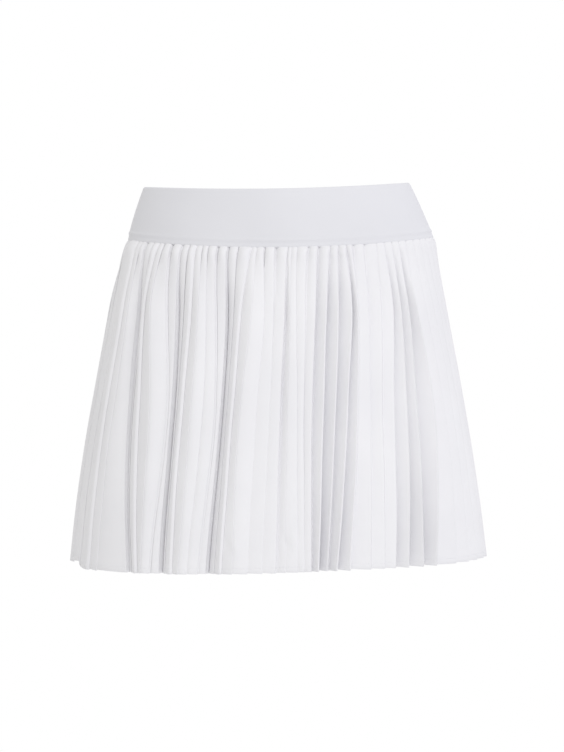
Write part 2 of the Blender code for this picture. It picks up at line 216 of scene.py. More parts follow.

# %% [markdown]
# ## Chart the folds
# A knife pleat is a fold whose edge lies over the start of the next pleat. A cloth simulation can
# drape a plain cloth, but it can't find pleats that heat has set, so each fold is charted.
# The first four columns are where its edge runs, in degrees round from the left side seam: at the
# seam, just below it, halfway down and at the hem. The next ones are how far the edge stands out
# from the plain ring and how far the cloth drops behind it, halfway down and at the hem, in
# millimetres. The last is how wide the strip along the edge is that already turns over, also in
# millimetres. A deep drop is the valley between two waves, the next two faces are the wall that
# climbs out of it, and a wide strip marks the crest at the top of that wall. Several deep drops in a
# row, as on the right, make one broad valley whose faces all turn the same way.

# %% Folds of the front panel
Fold = namedtuple("Fold", "seam upper middle hem rise drop hem_rise hem_drop edge")
FRONT_FOLDS = (
    Fold(7.0, 7.5, 8.0, 8.6, 0.5, 0.1, 0.5, 0.1, 0.2),
    Fold(14.4, 14.5, 17.0, 18.3, -0.8, 0.1, -0.2, 0.4, 0.2),
    Fold(24.6, 26.2, 27.2, 28.6, 3.4, 0.3, 3.0, 0.3, 2.6),
    Fold(27.8, 29.0, 31.2, 33.0, 3.0, 0.3, 3.0, 0.3, 0.3),
    Fold(31.0, 31.6, 36.1, 44.8, -3.0, 4.2, -2.0, 3.6, 0.3),
    Fold(36.4, 36.4, 39.6, 46.9, -1.2, 0.4, -0.6, 0.4, 0.3),
    Fold(40.0, 39.6, 44.0, 49.9, 2.2, 0.3, 2.2, 0.3, 2.4),
    Fold(42.6, 43.0, 49.4, 51.4, 6.8, 0.3, 4.2, 0.3, 0.3),
    Fold(46.3, 47.6, 54.0, 53.4, -0.6, 1.8, 1.2, 1.4, 0.3),
    Fold(51.4, 52.2, 55.5, 55.9, -2.8, 5.0, -2.8, 5.2, 0.3),
    Fold(55.2, 56.0, 57.9, 58.2, -1.6, 0.4, -1.6, 0.4, 0.3),
    Fold(58.4, 59.8, 60.7, 61.1, 2.0, 0.3, 2.4, 0.3, 2.4),
    Fold(60.8, 62.6, 64.1, 63.4, 6.2, 0.3, 5.6, 0.3, 0.3),
    Fold(63.2, 65.0, 67.3, 65.5, 2.8, 0.5, 3.4, 0.2, 0.3),
    Fold(66.5, 67.8, 70.6, 68.2, -0.2, 1.6, 0.6, 1.2, 0.3),
    Fold(70.6, 71.6, 72.4, 70.2, -2.8, 4.8, -2.4, 5.6, 0.3),
    Fold(74.7, 75.0, 74.5, 72.7, -1.6, 0.4, -1.4, 0.4, 0.3),
    Fold(79.8, 78.6, 76.8, 75.1, 1.4, 0.3, 2.6, 0.3, 2.4),
    Fold(81.5, 81.6, 79.0, 77.9, 5.6, 0.3, 5.0, 0.3, 0.3),
    Fold(84.0, 85.2, 83.6, 81.8, 2.2, 0.2, 2.2, 0.2, 0.3),
    Fold(87.9, 88.4, 87.4, 85.7, 1.4, 0.2, 1.6, 0.2, 0.3),
    Fold(92.6, 92.2, 90.5, 89.0, 1.2, 3.0, 1.2, 2.0, 0.3),
    Fold(94.0, 93.9, 92.6, 91.6, 2.4, 0.3, 1.3, 0.2, 0.3),
    Fold(96.0, 95.9, 95.4, 94.7, 2.0, 0.6, 1.2, 0.2, 0.3),
    Fold(99.6, 99.0, 97.4, 96.5, 1.8, 0.9, 1.2, 0.3, 0.3),
    Fold(103.4, 102.6, 99.8, 98.3, 2.4, 5.8, 1.4, 3.8, 0.7),
    Fold(108.0, 106.6, 103.3, 100.3, 2.8, 8.0, 2.6, 12.5, 1.4),
    Fold(111.1, 110.5, 107.0, 102.8, 2.8, 8.2, -2.0, 3.0, 1.4),
    Fold(114.2, 114.9, 110.9, 105.0, 2.6, 6.0, 3.0, 10.0, 1.6),
    Fold(116.7, 117.2, 114.0, 108.6, 2.4, 0.3, 2.4, 5.0, 1.6),
    Fold(121.2, 121.2, 118.0, 114.3, 1.5, 3.2, 1.8, 1.6, 0.3),
    Fold(126.9, 126.6, 122.2, 118.4, 1.5, 1.6, 1.5, 1.2, 0.3),
    Fold(130.6, 131.4, 126.6, 121.8, 1.8, 7.0, 2.0, 11.0, 1.0),
    Fold(134.5, 134.8, 131.5, 125.6, 2.2, 9.0, 3.0, 18.0, 1.4),
    Fold(138.2, 138.4, 135.5, 130.5, 2.4, 15.5, 4.0, 22.0, 1.4),
    Fold(142.3, 142.3, 143.2, 134.9, 2.8, 0.3, 5.2, 0.7, 1.4),
    Fold(147.4, 148.0, 149.0, 143.7, 2.0, 0.4, 3.6, 1.0, 0.6),
    Fold(152.7, 153.6, 154.6, 150.8, 1.6, 0.4, 2.7, 1.0, 0.6),
    Fold(158.3, 159.3, 160.5, 157.3, 1.2, 0.4, 1.7, 0.9, 0.6),
    Fold(164.0, 165.0, 165.5, 164.5, 0.9, 0.4, 1.2, 0.8, 0.6),
    Fold(169.8, 171.0, 171.5, 172.5, 0.6, 0.4, 0.6, 0.7, 0.6),
)
print(len(FRONT_FOLDS) + 1, "pleats across the front")

# %% [markdown]
# The back is never the same as the front, but it is pleated by the same machine. So the back's
# folds are worked out from a shorter chart, with one row for each wave: how many pleats the wave
# gathers, how deep its valley is halfway down and at the hem, and how far it drifts sideways by the
# hem. Inside a wave the pleats always climb steeply out of the valley to a round crest, go on to
# the top, and come down in smooth faces to the next valley.

# %% Folds of the back panel
Wave = namedtuple("Wave", "pleats depth hem_depth drift")
BACK_WAVES = (
    Wave(3, 2.0, 2.4, 1.0),
    Wave(5, 5.5, 6.5, 2.4),
    Wave(4, 4.0, 3.6, -1.0),
    Wave(5, 6.0, 7.0, 1.4),
    Wave(5, 2.5, 1.2, -2.2),
    Wave(4, 6.0, 6.8, 0.8),
    Wave(4, 4.5, 5.4, 2.0),
    Wave(5, 6.5, 6.2, -1.8),
    Wave(3, 3.0, 2.6, 1.2),
    Wave(4, 5.0, 5.6, -0.6),
)
UPPER = 0.12
MIDDLE = 0.48
WALL_RISE = -0.3  # of the valley's depth, at the edge of the first pleat
CREST_RISE = 0.25
TOP_RISE = 0.85
LIP_RISE = -0.35
LIP_DROP = 0.55
PLAIN_DROP = 0.3
PLAIN_EDGE = 0.3  # width of the strip that turns over at a plain edge, and at a crest
CREST_EDGE = 2.4
CROWDING = 0.9  # degrees that the pleats crowd towards the crest


def wave_pleat(number, pleats, depth):
    """Rise and drop of one pleat in a wave, in millimetres."""
    if number == 0:
        return WALL_RISE * depth, PLAIN_DROP
    if number == 1:
        return CREST_RISE * depth, PLAIN_DROP
    if number == pleats - 1:
        return LIP_RISE * depth, LIP_DROP * depth
    down_slope = (number - 2) / (pleats - 2)
    return mix(TOP_RISE, 0.1, down_slope) * depth, PLAIN_DROP


def back_folds():
    total = sum(wave.pleats for wave in BACK_WAVES)
    folds = []
    done = 0
    drift_before = 0.0
    for wave in BACK_WAVES:
        for number in range(wave.pleats):
            done += 1
            seam = math.degrees(even_angle(done / total, RINGS[0].depth_ratio))
            hem = math.degrees(even_angle(done / total, RINGS[-1].depth_ratio))
            drift = mix(drift_before, wave.drift, (number + 1) / wave.pleats)
            crowded = -CROWDING * math.sin(2.0 * math.pi * (number + 0.5) / wave.pleats)
            rise, drop = wave_pleat(number, wave.pleats, wave.depth)
            hem_rise, hem_drop = wave_pleat(number, wave.pleats, wave.hem_depth)
            places = [mix(seam, hem, down) + share * drift + turn * crowded
                      for down, share, turn in ((0.0, 0.0, 0.0), (UPPER, 0.1, 0.3), (MIDDLE, 0.6, 1.0))]
            edge = CREST_EDGE if number == 1 else PLAIN_EDGE
            folds.append(Fold(*places, hem + drift + crowded, rise, drop, hem_rise, hem_drop, edge))
        drift_before = wave.drift
    return tuple(folds[:-1])


BACK_FOLDS = back_folds()
print(len(BACK_FOLDS) + 1, "pleats across the back")

# %% [markdown]
# ## Where each fold runs
# A fold's edge is a line down the skirt. Its place at any height comes from the curve through its
# four charted places, and a little wander is added, because no pressed edge hangs dead straight.
# The wander is a sum of three slow sine waves with seeded starts, so it is the same on every run.
# Near the seam every pleat still lies as it was pressed, with its edge proud of the next one. Lower
# down that small step gives way to the waves. The step is small, too, where the next pleat is
# narrow or is a crest, because the cloth has no room there to lie any deeper.

# %% Rows down the cloth and the line of one fold
ROWS_AT_SEAM = (0.0, 0.0012, 0.0026, 0.0042, 0.0062, 0.0086, 0.0115, 0.0150, 0.0190, 0.0235, 0.0285)
ROWS_BELOW = 62
down_rows = np.concatenate(
    [np.array(ROWS_AT_SEAM) / SKIRT_LENGTH, np.linspace(0.0335 / SKIRT_LENGTH, 1.0, ROWS_BELOW)]
)
below = down_rows * SKIRT_LENGTH
row_half_width = half_width_at(down_rows)
row_ratio = depth_ratio_at(down_rows)
row_shift = shift_at(down_rows)
print(len(down_rows), "rows down each panel")

FoldLine = namedtuple("FoldLine", "angle rise drop lap puff edge")
LAP_CLOSED = 0.0026  # how far a closed pleat runs on under its own face
LAP_OPEN = -0.0013  # and one that has sprung open: its underside slants forward
LAP_SHARE = 0.5  # of the face, at most
OPEN_DROP = 0.0014  # a valley this deep has sprung its pleat open
CLOSING = 0.0010  # and one that is shallower by this much has left it closed
PRESSED_DROP = 0.0024
PRESSED_RISE = 0.0004
PRESSED_REACH = 0.23  # of the way down, where the pressed step has faded
WAVES_FULL = 0.22  # of the way down, where the waves have their whole depth
TIGHT_STEP = 0.35  # share of the pressed step that is left where there is no room for it
LEAST_DROP = 0.00018
LEAST_WIDTH = 0.0008
WANDER = 0.0022  # radians that an edge strays to each side
WANDER_OUT = 0.0002
NARROW = 0.0035  # a pleat this narrow at the seam is hidden under its neighbour
SMOOTH_FROM = 114.0  # degrees round, where the cloth is drawn smooth below the seam
SMOOTH_UNTIL = 200.0
FIRST_PLEATS_UNTIL = 24.0
opened = smooth(down_rows / WAVES_FULL)
pressed = np.exp(-((down_rows / PRESSED_REACH) ** 2)) * (1.0 - 0.5 * opened)
towards_hem = smooth((down_rows - MIDDLE) / (1.0 - MIDDLE))


def wander(seed, down):
    """A slow wave of size 1 down the cloth that differs for each seed."""
    source = np.random.default_rng(seed)
    starts = source.uniform(0.0, 2.0 * math.pi, 3)
    sizes = source.uniform(0.5, 1.0, 3)
    waves = [size * np.sin(turns * math.pi * down + start)
             for turns, size, start in zip((1.3, 2.9, 5.7), sizes, starts)]
    return sum(waves) / 2.2


def fold_line(fold, following, before, start, seed):
    """Angle, rise, drop, lap, puff and edge strip of one fold at every row."""
    angle = np.radians(through((0.0, UPPER, MIDDLE, 1.0), fold[:4], down_rows))
    angle = angle + WANDER * wander(seed, down_rows) * smooth(down_rows / 0.2)
    width = np.maximum((angle - before) * pace(start + angle, row_half_width, row_ratio), LEAST_WIDTH)
    shown = smooth((width[0] - NARROW) / 0.004) * puff_at(start + angle[0])
    rise = mix(fold.rise, fold.hem_rise, towards_hem) * MM * opened
    rise = rise + WANDER_OUT * wander(seed + 500, down_rows) * smooth(down_rows / 0.15)
    drop = mix(fold.drop, fold.hem_drop, towards_hem) * MM * opened
    room = smooth((following.seam - fold.seam - 3.0) / 2.0)
    step = TIGHT_STEP if following.edge >= CREST_EDGE else mix(TIGHT_STEP, 1.0, room)
    step = 0.0 if fold.edge >= CREST_EDGE else step
    drop = np.maximum(drop, LEAST_DROP) + PRESSED_DROP * step * shown * pressed
    closed = smooth((OPEN_DROP - drop) / CLOSING)
    lap = np.minimum(mix(LAP_OPEN, LAP_CLOSED, closed), LAP_SHARE * width)
    source = np.random.default_rng(seed + 900)
    puff = source.uniform(0.6, 1.25) * smooth((width[0] - 0.001) / 0.007)
    return FoldLine(angle, rise + PRESSED_RISE * shown * pressed, drop, lap, puff, fold.edge * MM)


def puff_at(angle):
    """How much pleats puff at the seam: hardly at all at the front's right and by its left seam."""
    degrees = np.degrees(angle) % 360.0
    smooth_side = smooth((degrees - SMOOTH_FROM) / 12.0) * smooth((SMOOTH_UNTIL - degrees) / 20.0)
    first_pleats = smooth((FIRST_PLEATS_UNTIL - degrees) / 8.0)
    return mix(1.0, 0.2, np.maximum(smooth_side, first_pleats))


# %% [markdown]
# ## The section of one pleat
# Cut level through the skirt, a knife pleat is a flat Z: the face runs to the fold's edge, turns
# back under itself for the lap, turns again at the inner fold and comes out as the next face. That
# whole Z is modelled here, so the edge really lies over the next pleat and throws its own shadow.
# A height map could not do this, because it can't fold back under itself. Where a deep valley has
# pulled a pleat open, the cloth behind its edge slants forward instead, and the valley is a soft
# fold, not a slit. Just below the seam each face puffs out.

# %% Columns of one pleat
FACE_STEPS = (0.08, 0.2, 0.34, 0.48, 0.62, 0.76, 0.89, 0.96)
FACE_BULGE = 0.00035
EDGE_FALL = 0.7  # slope of the strip that turns over at the edge
EDGE_RADIUS = 0.00025
EDGE_COLUMNS = 4
UNDER_COLUMNS = 5
FACE_EASE = 3.0  # how quickly a pressed face levels out towards its edge
PUFF_SIZE = 0.0017
PUFF_PLACE = 0.0050  # below the seam
PUFF_REACH = 0.0066


def pleat_columns(before, line, start):
    """One pleat, from the inner fold under the edge before it to its own edge and back under it."""
    paces = pace(start + line.angle, row_half_width, row_ratio)
    foot = before.rise - before.drop
    length = np.maximum((line.angle - before.angle) * paces + np.minimum(before.lap, 0.0), LEAST_WIDTH)
    strip = np.minimum(line.edge * mix(0.7, 1.0, opened), 0.55 * length)
    top = line.rise + EDGE_FALL * strip
    slope = np.clip((top - foot) / np.maximum(length - strip, 0.002), -1.0, 1.0)
    wave = PUFF_SIZE * line.puff * puff_at(start + line.angle)
    wave = wave * np.exp(-(((below - PUFF_PLACE) / PUFF_REACH) ** 2))
    falling = smooth((foot - top) / 0.002)
    begin = before.angle + np.maximum(-before.lap, 0.0) / paces
    columns = [(begin, foot)]
    for share in FACE_STEPS:
        hump = 4.0 * share * (1.0 - share)
        level = mix(mix(share, share**1.6, falling), 1.0 - (1.0 - share) ** FACE_EASE, pressed)
        height = mix(foot, top, level) + FACE_BULGE * hump + wave * hump**0.6
        columns.append((begin + share * (length - strip) / paces, height))
    radius = np.minimum(EDGE_RADIUS, 0.45 * line.drop)

    def at_edge(back, fall):
        columns.append((line.angle - back / paces, line.rise - fall))

    columns.append((line.angle - strip / paces, top))
    at_edge(0.4 * radius, 0.25 * radius)
    at_edge(0.0, 0.9 * radius)
    at_edge(0.35 * radius, 1.6 * radius)
    shut = smooth(line.lap / 0.001)

    def under(lap_share, drop_share, open_share, open_drop):
        """A point on the underside: its places on a closed lap, then on one that has sprung open."""
        back = line.lap * mix(open_share, lap_share, shut)
        fall = line.drop * mix(open_drop, drop_share, shut)
        columns.append((line.angle - back / paces, line.rise - slope * np.maximum(back, 0.0) - fall))

    under(0.55, 0.60, 0.30, 0.40)
    under(0.93, 0.86, 0.55, 0.70)
    under(1.00, 0.94, 0.75, 0.88)
    under(0.90, 1.00, 0.90, 0.97)
    under(0.45, 1.00, 1.00, 1.00)
    return columns


# %% [markdown]
# ## Small marks in the cloth
# Pressed cloth that has been worn or folded keeps a few small marks: two little dimples near the
# hem, and long soft creases where the skirt was laid flat. Each is a line from one angle and share
# of the way down to another, with a width and a depth in metres, and it fades out towards its ends.
# The hidden sides get similar ones.

# %% Dimples and soft creases
Crease = namedtuple("Crease", "angle_from down_from angle_to down_to width depth")
FRONT_CREASES = (
    Crease(75.6, 0.905, 77.6, 0.930, 0.0022, -0.0011),
    Crease(78.2, 0.900, 79.6, 0.950, 0.0030, 0.0007),
    Crease(91.0, 0.895, 92.2, 0.920, 0.0022, -0.0011),
    Crease(93.6, 0.880, 94.4, 0.930, 0.0030, 0.0007),
    Crease(146.0, 0.20, 152.0, 0.34, 0.0060, -0.0007),
    Crease(153.0, 0.30, 158.0, 0.52, 0.0070, 0.0006),
    Crease(163.0, 0.16, 166.0, 0.30, 0.0050, -0.0005),
    Crease(140.0, 0.06, 143.0, 0.24, 0.0040, -0.0005),
    Crease(119.0, 0.55, 121.0, 0.80, 0.0080, 0.0006),
    Crease(64.0, 0.62, 67.0, 0.82, 0.0060, -0.0006),
    Crease(29.0, 0.50, 32.0, 0.70, 0.0060, 0.0006),
)
BACK_CREASES = (
    Crease(34.0, 0.30, 40.0, 0.55, 0.0060, -0.0007),
    Crease(66.0, 0.90, 68.0, 0.93, 0.0024, -0.0010),
    Crease(88.0, 0.15, 92.0, 0.42, 0.0070, 0.0006),
    Crease(118.0, 0.88, 119.5, 0.92, 0.0024, -0.0010),
    Crease(139.0, 0.22, 145.0, 0.46, 0.0060, -0.0006),
)
OVAL_PACE = 0.9  # metres along the oval for a radian and a metre of half width, near enough


def crease_height(creases, angle, down):
    """What the small marks add outwards at every column and row."""
    added = np.zeros_like(angle)
    degrees = np.degrees(angle)
    for crease in creases:
        along = (down - crease.down_from) / (crease.down_to - crease.down_from)
        middle = mix(crease.angle_from, crease.angle_to, np.clip(along, 0.0, 1.0))
        aside = np.radians(degrees - middle) * row_half_width * OVAL_PACE
        past = np.maximum(np.abs(along - 0.5) - 0.5, 0.0) * (crease.down_to - crease.down_from)
        ends = past * SKIRT_LENGTH / (1.6 * crease.width)
        fade = 0.35 + 0.65 * np.sin(math.pi * np.clip(along, 0.0, 1.0))
        added += crease.depth * fade * np.exp(-((aside / crease.width) ** 2) - ends**2)
    return added


print(len(FRONT_CREASES) + len(BACK_CREASES), "small marks")

# %% [markdown]
# ## Weave the panel into a mesh
# The columns of all the pleats stand side by side, and each has a point at every row, so the panel
# is one plain grid. Below the hem line the grid goes on: it turns under and runs a few millimetres
# back up the inside, as the real narrow hem does. Above the seam one more row runs up into the band,
# where the stitching holds every pleat flat, so that no gap shows from above. At the side seams each
# panel starts just under the edge of the other. The edge of a wide pleat hangs a hair lower than its
# inner fold, which gives the hem its small teeth. A second set of numbers keeps how far each column
# is along the flat cloth, for the weave.

# %% Build a panel
HEM_TURN = 0.0055
HEM_THICKNESS = 0.00024
HEM_STEPS = ((0.5, -0.00018), (1.0, 0.0), (1.0, 0.0016), (1.0, HEM_TURN))  # share through, height
SEAM_TUCK = 0.0010  # how far the cloth is drawn in at the seam
SEAM_TUCK_REACH = 0.0016
CAUGHT_HEIGHT = 0.0016  # how far the pleats run up into the band, where the stitching flattens them
CAUGHT_DEPTH = 0.0012
UNDER_SIDE_SEAM = 0.006  # radians that a panel starts under the edge of the other one
HEM_TOOTH = 0.0009  # how much lower a wide pleat's edge hangs at the hem than its inner fold
WIDE_PLEAT = 0.013
TOOTH_POWER = 8  # the teeth fade out quickly above the hem
ACROSS_PLEAT = np.concatenate(
    [[0.0], FACE_STEPS, np.ones(EDGE_COLUMNS), np.linspace(0.8, 0.0, UNDER_COLUMNS)]
)
Panel = namedtuple("Panel", "points cloth")


def panel_columns(folds, start, seed):
    """All columns of a panel. The last pleat ends at its edge, on the side seam."""
    level = np.zeros_like(down_rows)
    right = FoldLine(level + math.pi, level, level + 0.0004, level + LAP_CLOSED, 1.0, 0.0003)
    left = right._replace(angle=level - UNDER_SIDE_SEAM)
    lines = []
    angle_before = left.angle
    following = folds[1:] + (Fold(180.0, 180.0, 180.0, 180.0, 0.0, 0.3, 0.0, 0.3, 0.3),)
    for number, fold in enumerate(folds):
        lines.append(fold_line(fold, following[number], angle_before, start, seed + number))
        angle_before = lines[-1].angle
    columns = []
    before = left
    for line in lines + [right]:
        columns += pleat_columns(before, line, start)
        before = line
    return columns[: len(columns) - UNDER_COLUMNS]


def hem_teeth(angle):
    """How much lower each column's foot hangs, in a small tooth for each pleat."""
    begins = np.append(angle[:: len(ACROSS_PLEAT)], angle[-1])
    width = np.clip(np.diff(begins) * row_half_width[-1] / WIDE_PLEAT, 0.0, 1.0)
    teeth = HEM_TOOTH * width[:, None] ** 2 * (ACROSS_PLEAT - 0.5)
    return teeth.ravel()[: len(angle)]


def turned_under(outside, inside):
    """Rows that turn the cloth's lower edge inwards and back up along its own inside."""
    row_height = below[-1] - below[-2]
    rows = []
    for share, up in HEM_STEPS:
        lying = mix(inside[:, -1], inside[:, -3], max(up, 0.0) / (2.0 * row_height))
        row = mix(outside[:, -1], lying, share)
        row[:, 2] += min(up, 0.0)
        rows.append(row)
    return np.stack(rows, axis=1)


def lay_panel(folds, start, seed, creases):
    columns = panel_columns(folds, start, seed)
    angle = np.stack([column[0] for column in columns])
    outwards = np.stack([column[1] + np.zeros_like(down_rows) for column in columns])
    outwards = outwards + crease_height(creases, angle, down_rows)
    outwards = outwards - SEAM_TUCK * np.exp(-below / SEAM_TUCK_REACH)
    height = mix(seam_height(start + angle) - SEAM_GAP, hem_height(start + angle), down_rows)
    height = height - hem_teeth(angle[:, -1])[:, None] * down_rows**TOOTH_POWER

    def cloth_points(inwards):
        across, along = oval(start + angle, row_half_width, row_ratio, row_shift, outwards - inwards)
        return np.stack([across, along, height], axis=2)

    points = cloth_points(0.0)
    middle_row = points[:, len(down_rows) // 2]
    steps = np.linalg.norm(np.diff(middle_row, axis=0), axis=1)
    cloth = np.concatenate([[0.0], np.cumsum(steps)])
    top_ring = (row_half_width[0], row_ratio[0], row_shift[0])
    across, along = oval(start + angle[:, 0], *top_ring, -CAUGHT_DEPTH)
    caught = np.stack([across, along, height[:, 0] + CAUGHT_HEIGHT], axis=1)[:, None]
    hem = turned_under(points, cloth_points(HEM_THICKNESS))
    return Panel(np.concatenate([caught, points, hem], axis=1), cloth)


def grid_object(name, points, cloth, fall):
    """A mesh from a grid of points, with the flat cloth's own measures as its UV map."""
    columns, rows = points.shape[:2]
    mesh = bpy.data.meshes.new(name)
    number = np.arange(columns * rows).reshape(columns, rows)
    quads = np.stack(
        [number[:-1, :-1], number[:-1, 1:], number[1:, 1:], number[1:, :-1]], axis=2
    ).reshape(-1, 4)
    mesh.from_pydata(points.reshape(-1, 3).tolist(), [], quads.tolist())
    mesh.shade_smooth()
    layer = mesh.uv_layers.new(name="cloth")
    flat = np.stack(np.broadcast_arrays(cloth[:, None], fall[None, :]), axis=2).reshape(-1, 2)
    layer.uv.foreach_set("vector", flat[quads.reshape(-1)].astype(np.float32).ravel())
    made = bpy.data.objects.new(name, mesh)
    bpy.context.scene.collection.objects.link(made)
    print(name, len(quads), "quads")
    return made


CAUGHT_FALL = -0.003  # the flat cloth's own length at the row above the seam
HEM_FALLS = np.array([0.0003, 0.0006, 0.002, 0.006])  # and past the hem's fold
cloth_fall = np.concatenate([[CAUGHT_FALL], below, SKIRT_LENGTH + HEM_FALLS])
front_panel = lay_panel(FRONT_FOLDS, 0.0, 10, FRONT_CREASES)
back_panel = lay_panel(BACK_FOLDS, math.pi, 210, BACK_CREASES)
skirt_front = grid_object("pleated_front", front_panel.points, front_panel.cloth, cloth_fall)
skirt_back = grid_object("pleated_back", back_panel.points, back_panel.cloth, cloth_fall)
print("cloth across the front", round(front_panel.cloth[-1], 3), "m")
print("cloth across the back", round(back_panel.cloth[-1], 3), "m")

# %% [markdown]
# ## The waistband
# The band is a tube of smooth knit over wide elastic, so it has no folds. What makes it look real
# is small: a rounded top edge, a slight swell where it presses on the waist, a soft ridge above the
# seam, where the cut edges of the pleats are turned up inside it, and a fine groove at each side,
# where its two halves are joined. Its section is drawn once, as heights and swells from the seam to
# the top edge, down the inside and back, and is swept round.

# %% Section of the band
RIDGE_HEIGHT = 0.0066  # above the seam
RIDGE_WIDTH = 0.0013
RIDGE_SWELL = 0.00055
RIDGE_SHADOW = -0.0003  # a faint dip just under the ridge
SHADOW_BELOW = 0.0026
SHADOW_WIDTH = 0.0014
BAND_SWELL = 0.0009
BAND_TUCK = -0.0007  # where the seam draws it in
BAND_TUCK_REACH = 0.0013
EDGE_ROUNDING = 0.0012
EDGE_SHARE = 0.035  # of the band's height, which each rounded edge takes
BAND_COLUMNS = 240
SIDE_GROOVE = 0.0004
SIDE_GROOVE_WIDTH = 0.0009
BAND_SIDE_ROWS = 44
EDGE_ROWS = 7


def band_section():
    """Share of the way up, distance out, and whether on the outside, all round the section."""
    places = []
    for up in np.linspace(EDGE_SHARE, 1.0 - EDGE_SHARE, BAND_SIDE_ROWS):
        places.append((up, 0.0, True))
    for turn in np.linspace(0.0, math.pi, EDGE_ROWS)[1:-1]:
        out = -EDGE_ROUNDING * (1.0 - math.cos(turn))
        places.append((1.0 - EDGE_SHARE + EDGE_SHARE * math.sin(turn), out, True))
    for up in np.linspace(1.0 - EDGE_SHARE, EDGE_SHARE, BAND_SIDE_ROWS // 3):
        places.append((up, -BAND_WALL, False))
    for turn in np.linspace(0.0, math.pi, EDGE_ROWS)[1:-1]:
        out = -BAND_WALL + EDGE_ROUNDING * (1.0 - math.cos(turn))
        places.append((EDGE_SHARE - EDGE_SHARE * math.sin(turn), out, False))
    return places


def band_swell(angle, up, height):
    """How far the outside stands out from the plain cone of the band."""
    over_seam = up * height
    swell = BAND_SWELL * np.sin(math.pi * up) ** 0.8
    ridge = RIDGE_SWELL * np.exp(-(((over_seam - RIDGE_HEIGHT) / RIDGE_WIDTH) ** 2))
    ridge = ridge * (1.0 + 0.35 * np.sin(5.0 * angle))
    shadow = RIDGE_SHADOW * np.exp(-(((over_seam - RIDGE_HEIGHT + SHADOW_BELOW) / SHADOW_WIDTH) ** 2))
    slow = 0.00035 * np.sin(3.0 * angle + 0.7) + 0.00022 * np.sin(7.0 * angle + 2.1 + 2.0 * up)
    tuck = BAND_TUCK * np.exp(-over_seam / BAND_TUCK_REACH)
    return swell + ridge + shadow + slow * np.sin(math.pi * up) + tuck


def lay_band(start):
    places = band_section()
    up = np.array([place[0] for place in places])
    out = np.array([place[1] for place in places])
    outer = np.array([1.0 if place[2] else 0.0 for place in places])
    angle = np.linspace(start, start + math.pi, BAND_COLUMNS)[:, None]
    from_side = np.minimum(angle - start, start + math.pi - angle) * SEAM_HALF_WIDTH
    low = seam_height(angle)
    high = band_top(angle)
    groove = SIDE_GROOVE * np.exp(-((from_side / SIDE_GROOVE_WIDTH) ** 2))
    swell = band_swell(angle, up, high - low) - groove
    half_width = mix(SEAM_HALF_WIDTH, TOP_HALF_WIDTH, up)
    ratio = mix(SEAM_DEPTH_RATIO, TOP_DEPTH_RATIO, up)
    shift = mix(SEAM_SHIFT, TOP_SHIFT, up)
    across, along = oval(angle, half_width, ratio, shift, out + swell * outer)
    height = mix(low, high, up)
    return np.stack([across, along, height], axis=2)


def band_object(name, start):
    """The swept section, closed round its own loop and at its two ends."""
    points = lay_band(start)
    columns, rows = points.shape[:2]
    number = np.arange(columns * rows).reshape(columns, rows)
    following = np.roll(number, -1, axis=1)
    quads = np.stack(
        [number[:-1], number[1:], following[1:], following[:-1]], axis=2
    ).reshape(-1, 4)
    faces = quads.tolist() + [number[0].tolist(), number[-1][::-1].tolist()]
    mesh = bpy.data.meshes.new(name)
    mesh.from_pydata(points.reshape(-1, 3).tolist(), [], faces)
    mesh.shade_smooth()
    mesh.set_sharp_from_angle(angle=math.radians(60))
    made = bpy.data.objects.new(name, mesh)
    bpy.context.scene.collection.objects.link(made)
    print(name, len(faces), "faces")
    return made


band_front = band_object("band_front", 0.0)
band_back = band_object("band_back", math.pi)

# %% [markdown]
# ## The hem's stitches
# A narrow turned hem is held by one row of lockstitch. Each stitch is a short, slightly sunken
# length of thread. They could be bump in a material, but from close by thread should stand up from
# the cloth and catch light, so each stitch is a small six-sided bar with rounded ends, and one
# function joins a whole row of them into one mesh.

# %% Stitch a row
STITCH_LENGTH = 0.0021
STITCH_PITCH = 0.0027
THREAD_RADIUS = 0.00013
STITCH_SIDES = 6
STITCH_PROFILE = ((-0.5, 0.25), (-0.36, 0.9), (0.0, 1.0), (0.36, 0.9), (0.5, 0.25))
HEM_STITCH_HEIGHT = 0.0046
LOOK_AHEAD = 0.0006  # how far on the row's direction is taken


